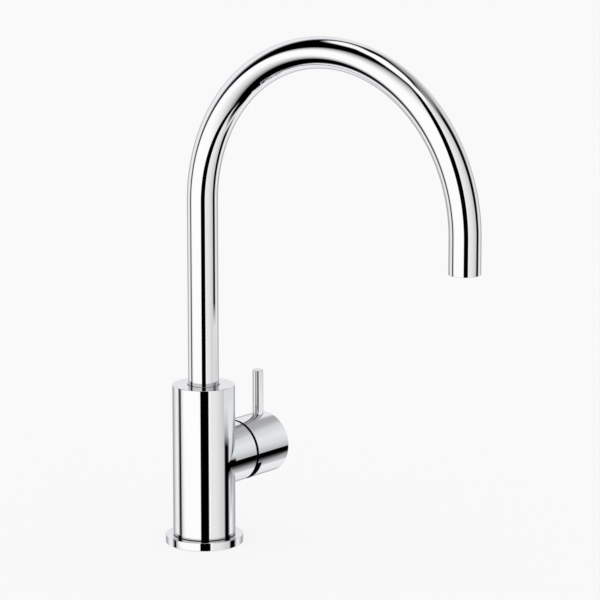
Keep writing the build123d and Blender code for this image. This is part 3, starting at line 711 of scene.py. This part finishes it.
# %% Brass
TURNING_MM = 0.6
TURNING_DEPTH = 0.01 * MM
GROOVE_ROUGHNESS, RIDGE_ROUGHNESS = 0.34, 0.22
WAVE_REPEAT = 2 * math.pi / 20


def turned_brass(name, axis):
    """Bare brass with tool marks across an axis."""
    material, tree, shader, place = start_material(name, Metallic=1.0)
    rings = add_node(tree, "ShaderNodeTexWave", {
        "Vector": place,
        "Scale": WAVE_REPEAT * per_mm(TURNING_MM),
        "Distortion": 0.8,
        "Detail": 2.0,
    }, wave_type="BANDS", bands_direction=axis).outputs["Fac"]
    dark, light = srgb("#C9A657"), srgb("#DDBE73")
    colour = add_node(tree, "ShaderNodeMix", {0: rings, 6: dark, 7: light}, data_type="RGBA")
    gloss = add_node(tree, "ShaderNodeMapRange", {
        "Value": rings,
        "To Min": GROOVE_ROUGHNESS,
        "To Max": RIDGE_ROUGHNESS,
    })
    bump = add_node(tree, "ShaderNodeBump", {"Height": rings, "Distance": TURNING_DEPTH})
    tree.links.new(colour.outputs[2], shader.inputs["Base Color"])
    tree.links.new(gloss.outputs["Result"], shader.inputs["Roughness"])
    tree.links.new(bump.outputs["Normal"], shader.inputs["Normal"])
    return material


dress(turned_brass("brass turned upright", "Z"), "spout_tail", "outlet_bush")
dress(turned_brass("brass turned along the handle", "X"), "cartridge_nut", "cartridge_stem")

# %% [markdown]
# ### Satin stainless steel
#
# Screws, pivot pin and aerator screen are stainless steel, tumbled to a soft satin. It is greyer than
# chrome and blurs what it mirrors. Tumbling leaves dents of some 0.1 mm, drawn at 0.4 mm so that they
# show.

# %% Steel
steel = grained("tumbled stainless steel", ("#A9AAAC", "#BEBFC1"), grain_mm=0.4, roughness=(0.24, 0.36),
                depth_mm=0.006, Metallic=1.0)
dress(steel, "spout_lock_screw", "handle_grub_screw", "stem_pivot_pin", "aerator_screen")

# %% [markdown]
# ### Moulded EPDM rubber
#
# The gasket below the flange, the O-rings and the seals are black EPDM rubber from a sparked mould: deep
# grey rather than black, without shine, and a little powdery where talc is left in its grain.

# %% Rubber
rubber = grained("moulded EPDM rubber", ("#1A1A1B", "#2A2A2B"), grain_mm=0.5, roughness=(0.7, 0.85),
                 depth_mm=0.02)
dress(rubber, "base_gasket", "spout_o_rings", "cartridge_seals", "aerator_gasket")

# %% [markdown]
# ### Black acetal
#
# The spout turns in bushes of acetal, a hard and slippery plastic. It is black, with the low waxy gloss
# of a surface that slides on metal.

# %% Acetal
acetal = grained("moulded black acetal", ("#151516", "#1F1F21"), grain_mm=0.8, roughness=(0.34, 0.46),
                 depth_mm=0.008)
dress(acetal, "upper_bush", "thrust_ring", "lower_bush")

# %% [markdown]
# ### Glass-filled cartridge plastic
#
# The shell and the moving parts of a cartridge are polyamide with glass fibres: a light cool grey, satin,
# with a faint cloudiness where the fibres come to the surface.

# %% Cartridge plastic
polyamide = grained("glass-filled polyamide", ("#C6C8CB", "#D8D9DB"), grain_mm=0.7, roughness=(0.4, 0.55),
                    depth_mm=0.01)
dress(polyamide, "cartridge_base", "cartridge_housing", "cartridge_rotor", "disc_driver")

# %% [markdown]
# ### Aerator plastic
#
# The aerator in the outlet is a plain grey acetal, a shade darker than the cartridge and smoother,
# because lime must not stick to it.

# %% Aerator plastic
grey_acetal = grained("moulded grey acetal", ("#B4B8BC", "#C3C7CA"), grain_mm=0.9, roughness=(0.28, 0.38),
                      depth_mm=0.006)
dress(grey_acetal, "aerator_housing", "aerator_insert", "flow_regulator")

# %% [markdown]
# ### Lapped alumina
#
# The two discs that open and close the water are alumina ceramic, lapped so flat that they seal on each
# other without a gasket: creamy white, glossy, with a very faint speckle of pores.

# %% Ceramic
alumina = grained("lapped alumina ceramic", ("#EAE7DF", "#F3F1EB"), grain_mm=0.35, roughness=(0.12, 0.2),
                  depth_mm=0.002, IOR=1.76)
dress(alumina, "fixed_disc", "moving_disc")

# %% [markdown]
# ## The camera
#
# The camera looks a little down on the tap, from its left and in front, and with a long lens, as for a
# catalogue: upright edges stay almost parallel.

# %% Set up the camera
CAMERA_AZIMUTH = math.radians(-51.05)
CAMERA_ELEVATION = math.radians(11.8)
CAMERA_DISTANCE = 2.3163
CAMERA_TARGET = Vector((0.04345, -0.05375, 0.17804))
LENS_MM = 195.0


def towards(azimuth, elevation=0.0):
    """The direction of a compass angle, where 0 is -Y, and a height above the horizon."""
    level = math.cos(elevation)
    return Vector((math.sin(azimuth) * level, -math.cos(azimuth) * level, math.sin(elevation)))


camera_data = bpy.data.cameras.new("camera")
camera_data.lens = LENS_MM
camera = bpy.data.objects.new("camera", camera_data)
bpy.context.scene.collection.objects.link(camera)
back = towards(CAMERA_AZIMUTH, CAMERA_ELEVATION)
camera.location = CAMERA_TARGET + back * CAMERA_DISTANCE
camera.rotation_euler = (-back).to_track_quat("-Z", "Y").to_euler()
bpy.context.scene.camera = camera
print("camera at", [round(x, 3) for x in camera.location])

# %% [markdown]
# ## The floor
#
# The tap stands on pale paper that runs on without an edge. For the camera most of the paper's light is
# its own, at a strength of 1, so that it has the same pale tone as the backdrop, and the rest is light
# that falls on it, so that the tap keeps a soft shadow at its foot. Mirrors don't see the paper: what
# they see is the studio, below.

# %% Lay the floor
PALE = "#F9F9F9"
OWN_LIGHT = 0.88
FLOOR_HALF = 8.0
FLOOR_Z = -0.1 * MM

bm = bmesh.new()
below_flange = Matrix.Translation((0, 0, FLOOR_Z))
bmesh.ops.create_grid(bm, x_segments=1, y_segments=1, size=FLOOR_HALF, matrix=below_flange)
floor = make_piece("floor", bm)
paper, tree, shader, _ = start_material(
    "pale paper",
    Base_Color=srgb(PALE),
    Roughness=1.0,
    Specular_IOR_Level=0.0,
)
glow = add_node(tree, "ShaderNodeEmission", {"Color": srgb(PALE), "Strength": 1.0}).outputs[0]
camera_ray = add_node(tree, "ShaderNodeLightPath").outputs["Is Camera Ray"]
share = add_node(tree, "ShaderNodeMath", {0: camera_ray, 1: OWN_LIGHT}, operation="MULTIPLY").outputs[0]
shown = add_node(tree, "ShaderNodeMixShader", {0: share, 1: shader.outputs[0], 2: glow}).outputs[0]
tree.links.new(shown, tree.nodes["Material Output"].inputs["Surface"])
floor.data.materials.append(paper)
floor.visible_glossy = False
print("floor laid", FLOOR_Z / MM, "mm below the flange")

# %% [markdown]
# ## The studio
#
# Chrome has no colour of its own: it shows the room. A photographer of polished metal builds that room
# from large white panels and leaves black slots between them, because the black lines draw the shape. The
# panels are painted in the world by their direction, one over the other, which keeps them straight and
# even on every piece. Chromium gives back two thirds of the light, so a white panel has to be brighter
# than plain white to show as white.
#
# Each panel is an ellipse in azimuth and elevation. An endless half height makes it an upright strip, and
# a half width that goes all round makes it a cap over the head or under the feet.

# %% Panels round the tap
WHITE_LEVEL = 1.55
LIT_WALL = "lit wall"
ENDLESS = 400
ALL_ROUND = 900
PANELS = [
    # name, colour, azimuth from the camera, elevation, half width, half height, blur as a share of the size
    ("right panel", "#CBCBCB", 44, 0, 39.5, ENDLESS, 0.1),
    ("lit part of the right panel", "#E8E8E8", 22, 0, 40, ENDLESS, 0.6),
    ("bright edge of the right panel", "#F8F8F8", 21, 0, 5, ENDLESS, 0.5),
    ("dark corner under the right panel", "#000000", 75, -72, 38, 9, 0.6),
    (LIT_WALL, None, -49, 0, 43, ENDLESS, 0.05),
    ("wall behind the tap", "#F2F1F5", 181.5, -13, 74, 59, 0.1),
    ("foot of the wall behind the tap", "#F2F1F5", 181.5, -35, 68, 52, 0.1),
    ("upper wall on the right", "#DEDEE0", 140, 20, 24, 33, 0.5),
    ("grey strip on the upper wall", "#ACACAE", 143, 41, 23, 9, 0.4),
    ("far end behind the tap", "#B4B4B8", 180, -14, 46, 20, 0.3),
    ("dark floor", "#000000", 0, -90, ALL_ROUND, 16, 0.3),
    ("black slot for the camera", "#000000", 4.4, 0, 15.4, ENDLESS, 0.1),
    ("grey corner below the ceiling", "#8C8C8E", 103, 58, 22, 8, 0.5),
    ("ceiling", "#FFFFFF", 0, 90, ALL_ROUND, 15.5, 0.12),
    ("ceiling over the right panel", "#FFFFFF", 45, 74, 34, 9, 0.3),
    ("ceiling behind the tap", "#FFFFFF", -150, 74, 55, 7, 0.3),
    ("window in the ceiling", "#FFFFFF", -143, 63, 28, 11, 0.3),
]
print(len(PANELS), "panels, the white ones at", WHITE_LEVEL, "of plain white")

studio = bpy.data.worlds.new("studio of panels")
studio.use_nodes = True
tree = studio.node_tree
tree.nodes.clear()
ray = add_node(tree, "ShaderNodeTexCoord").outputs["Generated"]
rise = add_node(tree, "ShaderNodeSeparateXYZ", {0: ray}).outputs["Z"]
height = add_node(tree, "ShaderNodeMath", {0: rise}, operation="ARCSINE").outputs[0]

# %% [markdown]
# The lit wall on the left is flat and stands square to the camera, nearly. Its lamps light the middle, so
# it fades with its own height, above and below: that is the ray's rise over its run towards the wall.

# %% Fade the lit wall
LIT_FACING = math.radians(-10)
LIT_CENTRE = 0.05
LIT_FULL, LIT_NONE = 0.6, 2.5

run = add_node(tree, "ShaderNodeVectorMath", {0: ray, 1: towards(CAMERA_AZIMUTH + LIT_FACING)},
               operation="DOT_PRODUCT").outputs["Value"]
up_wall = add_node(tree, "ShaderNodeMath", {0: rise, 1: run}, operation="DIVIDE").outputs[0]
off_lamps = add_node(tree, "ShaderNodeMath", {0: up_wall, 1: LIT_CENTRE}, operation="SUBTRACT").outputs[0]
off_lamps = add_node(tree, "ShaderNodeMath", {0: off_lamps}, operation="ABSOLUTE").outputs[0]
lit = add_node(tree, "ShaderNodeMapRange", {"Value": off_lamps, "From Min": LIT_NONE, "From Max": LIT_FULL})
print("lit wall fades out at", round(math.degrees(math.atan(LIT_NONE)), 1), "degrees up")

# %% [markdown]
# Now each panel is painted over the ones before it. Two dot products and an arc tangent give the angle to
# the panel's middle, and the distance from there in half sizes says how far the panel covers this ray.

# %% Paint the panels
colour = srgb("#000000")
for name, paint, azimuth, elevation, half_width, half_height, blur in PANELS:
    facing = towards(CAMERA_AZIMUTH + math.radians(azimuth))
    beside = towards(CAMERA_AZIMUTH + math.radians(azimuth + 90))
    ahead = add_node(tree, "ShaderNodeVectorMath", {0: ray, 1: facing},
                     operation="DOT_PRODUCT").outputs["Value"]
    aside = add_node(tree, "ShaderNodeVectorMath", {0: ray, 1: beside},
                     operation="DOT_PRODUCT").outputs["Value"]
    turned = add_node(tree, "ShaderNodeMath", {0: aside, 1: ahead}, operation="ARCTAN2").outputs[0]
    place = add_node(tree, "ShaderNodeCombineXYZ", {"X": turned, "Y": height}).outputs[0]
    centre = (0, math.radians(elevation), 0)
    place = add_node(tree, "ShaderNodeVectorMath", {0: place, 1: centre}, operation="SUBTRACT").outputs[0]
    half_size = (math.radians(half_width), math.radians(half_height), 1)
    place = add_node(tree, "ShaderNodeVectorMath", {0: place, 1: half_size}, operation="DIVIDE").outputs[0]
    reach = add_node(tree, "ShaderNodeVectorMath", {0: place}, operation="LENGTH").outputs["Value"]
    covers = add_node(tree, "ShaderNodeMapRange", {
        "Value": reach,
        "From Min": 1 + blur,
        "From Max": 1 - blur,
    }, interpolation_type="SMOOTHSTEP").outputs["Result"]
    light = lit.outputs["Result"] if name == LIT_WALL else srgb(paint)
    colour = add_node(tree, "ShaderNodeMix", {0: covers, 6: colour, 7: light}, data_type="RGBA").outputs[2]
print("studio painted with", len(tree.nodes), "nodes")

# %% [markdown]
# A ray that asks what is out there gets one of three answers. Mirror rays see the panels. Rays from
# anything matt find plain white light of strength 1 on all sides, at which a colour renders as it is
# written. The camera sees a pale backdrop, in the tone of the paper.

# %% Light, mirrors and backdrop
mirrored = add_node(tree, "ShaderNodeBackground", {"Color": colour, "Strength": WHITE_LEVEL}).outputs[0]
plain = add_node(tree, "ShaderNodeBackground", {"Color": srgb("#FFFFFF"), "Strength": 1.0}).outputs[0]
seen = add_node(tree, "ShaderNodeBackground", {"Color": srgb(PALE), "Strength": 1.0}).outputs[0]
path = add_node(tree, "ShaderNodeLightPath").outputs
unseen = add_node(tree, "ShaderNodeMixShader", {0: path["Is Glossy Ray"], 1: plain, 2: mirrored}).outputs[0]
world = add_node(tree, "ShaderNodeMixShader", {0: path["Is Camera Ray"], 1: unseen, 2: seen}).outputs[0]
add_node(tree, "ShaderNodeOutputWorld", {"Surface": world})
bpy.context.scene.world = studio
bpy.context.scene.view_settings.view_transform = "Standard"
print("world:", studio.name)

# %% [markdown]
# Cards stand close to the tap on its right, as a photographer would hold them. They are meshes, because
# only something near can be seen by one piece and missed by the next. Only mirrors see them, and a ramp of
# colour and cover up each card lets its edges fade.

# %% A glowing card


def stand_card(name, place, sides_mm, stops):
    """A card in the XZ plane of its place, between two sides, with (height, colour, cover) stops up it."""
    low, high = stops[0][0], stops[-1][0]
    left, right = sides_mm
    bm = bmesh.new()
    middle = Matrix.Translation(((left + right) / 2 * MM, 0, (low + high) / 2 * MM))
    spread = Matrix.Diagonal(((right - left) / 2 * MM, 1, (high - low) / 2 * MM, 1))
    on_edge = Matrix.Rotation(math.radians(90), 4, "X")
    bmesh.ops.create_grid(bm, x_segments=1, y_segments=1, size=1, matrix=place @ middle @ spread @ on_edge)
    card = make_piece(name, bm)
    glow, tree, shader, at = start_material(
        name,
        Base_Color=srgb("#000000"),
        Specular_IOR_Level=0.0,
        Emission_Strength=WHITE_LEVEL,
    )
    up = add_node(tree, "ShaderNodeSeparateXYZ", {0: at}).outputs["Z"]
    share = add_node(tree, "ShaderNodeMapRange", {"Value": up, "From Min": low * MM, "From Max": high * MM})
    ramp = add_node(tree, "ShaderNodeValToRGB", {"Fac": share.outputs["Result"]})
    elements = ramp.color_ramp.elements
    elements.remove(elements[-1])
    for number, (stop, paint, cover) in enumerate(stops):
        element = elements.new((stop - low) / (high - low)) if number else elements[0]
        element.color = (*srgb(paint)[:3], cover)
    tree.links.new(ramp.outputs["Color"], shader.inputs["Emission Color"])
    tree.links.new(ramp.outputs["Alpha"], shader.inputs["Alpha"])
    card.data.materials.append(glow)
    card.visible_camera = False
    card.visible_diffuse = False
    card.visible_shadow = False
    card.visible_transmission = False
    print(f"{name}: {right - left} mm wide, from {low} to {high} mm up")


# %% [markdown]
# The first card fills the black slot on the right for the body and the foot of the spout. It fades out
# below and above, so that the slot comes back softly.

# %% Stand the card beside the body
BODY_CARD_AZIMUTH = CAMERA_AZIMUTH + math.radians(101)
BODY_CARD_DISTANCE = 131 * MM
facing_body = Matrix.Translation(towards(BODY_CARD_AZIMUTH) * BODY_CARD_DISTANCE)
facing_body = facing_body @ Matrix.Rotation(BODY_CARD_AZIMUTH, 4, "Z")
stand_card("card_beside_the_body", facing_body, (-60, 25), [
    (44, "#DEDEE0", 0.0),
    (53, "#DEDEE0", 0.55),
    (62, "#DEDEE0", 0.82),
    (74, "#DEDEE0", 1.0),
    (134, "#DEDEE0", 1.0),
    (151, "#DEDEE0", 0.0),
])

# %% [markdown]
# The handle has two cards before it. The lower one is white with a black foot, so that the handle is light
# and a dark line runs along it. The upper one is turned, so that the edge of its reflection slants across
# branch and cap.

# %% Stand the cards before the handle
HANDLE_CARD_Y = -30 * MM
before_handle = Matrix.Translation((0, HANDLE_CARD_Y, 0))
stand_card("card_before_the_handle", before_handle, (18, 150), [
    (14, "#000000", 0.0),
    (24, "#000000", 0.28),
    (42, "#000000", 0.55),
    (48, "#000000", 0.7),
    (52.5, "#000000", 1.0),
    (58.6, "#000000", 1.0),
    (58.8, "#B2B4B6", 1.0),
    (67, "#D9DDDF", 1.0),
    (76, "#E4E8EA", 1.0),
])
UPPER_CARD_X = 99.5 * MM
UPPER_CARD_TURN = math.radians(25)
above_handle = Matrix.Translation((UPPER_CARD_X, HANDLE_CARD_Y, 0))
above_handle = above_handle @ Matrix.Rotation(UPPER_CARD_TURN, 4, "Z")
stand_card("card_above_the_handle", above_handle, (-60, 55), [
    (66, "#E4E8EA", 1.0),
    (83, "#E4E8EA", 1.0),
    (100, "#D9DCDE", 1.0),
    (112, "#D2D4D7", 1.0),
    (122, "#D2D4D7", 0.5),
    (138, "#D2D4D7", 0.15),
    (160, "#D2D4D7", 0.0),
])

# %% [markdown]
# A flat mirror shows only a small patch of the room. For the end of the cap, seen from behind the handle,
# that patch lies in the black slot, so a white card covers part of it. A small black card carries the dark
# line of the handle on to the body.

# %% Stand the small cards
END_CARD_AZIMUTH = math.radians(45)
END_CARD_DISTANCE = 60 * MM
end_card_foot = Vector((cap_high.x, 0, 0)) + towards(END_CARD_AZIMUTH) * END_CARD_DISTANCE
facing_end = Matrix.Translation(end_card_foot) @ Matrix.Rotation(END_CARD_AZIMUTH, 4, "Z")
stand_card("card_at_the_end_of_the_handle", facing_end, (-8, 16), [
    (0, "#F2F1F5", 1.0),
    (90, "#F2F1F5", 1.0),
])
stand_card("black_card_at_the_branch", before_handle, (4, 18), [
    (44, "#000000", 0.0),
    (52, "#000000", 1.0),
    (58.6, "#000000", 1.0),
    (58.8, "#000000", 0.0),
])
